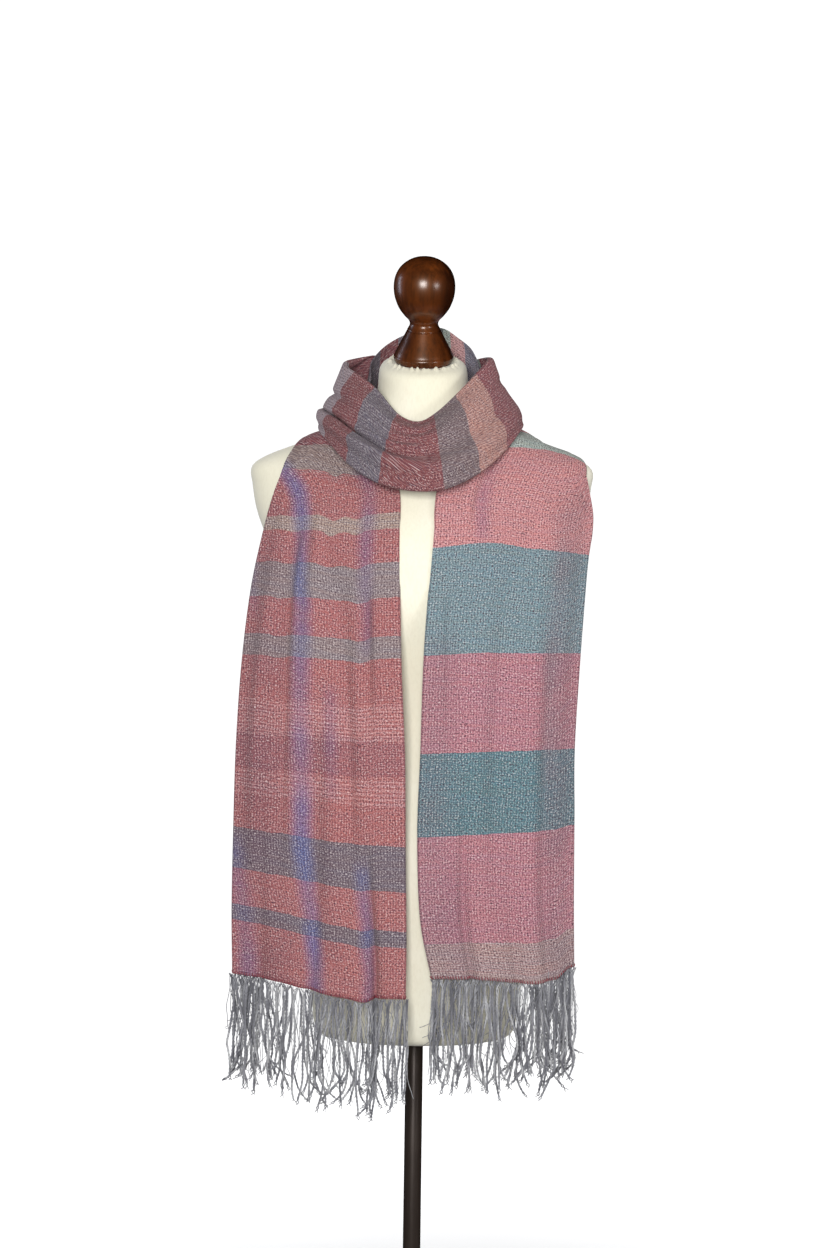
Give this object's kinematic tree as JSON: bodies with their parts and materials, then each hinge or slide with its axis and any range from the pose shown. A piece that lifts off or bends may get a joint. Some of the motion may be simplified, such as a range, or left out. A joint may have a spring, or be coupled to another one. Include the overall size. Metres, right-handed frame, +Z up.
{
  "type": "fringed woven scarf on a limbless dress form stand",
  "caption": "Soft woven block-striped scarf with fringed ends, wound once round the neck of a limbless dress form with a turned neck cap, on a pole and round base.",
  "frame": {"origin": "on the floor, at the middle of the base's flat underside, on the axis of the pole", "axes": "+Z up, +X to the viewer's right, -Y towards the front of the dress form"},
  "size_m": [0.3912, 0.34, 1.3822],
  "materials": {
    "rose_woven_cloth": "soft mélange weave",
    "mauve_woven_cloth": "soft mélange weave",
    "red_woven_cloth": "soft mélange weave",
    "grey_yarn": "twisted warp yarn",
    "cream_jersey": "plain fine knit",
    "dark_wood": "polished lacquer",
    "dark_metal": "satin"
  },
  "bodies": {
    "root": {"tail_right": "rose_woven_cloth", "nape_inner": "rose_woven_cloth", "cowl": "mauve_woven_cloth", "nape_outer": "red_woven_cloth", "tail_left": "red_woven_cloth", "fringe_right": "grey_yarn", "fringe_left": "grey_yarn", "form": "cream_jersey", "neck_cap": "dark_wood", "pole": "dark_metal", "base": "dark_metal"}
  },
  "joints": []
}
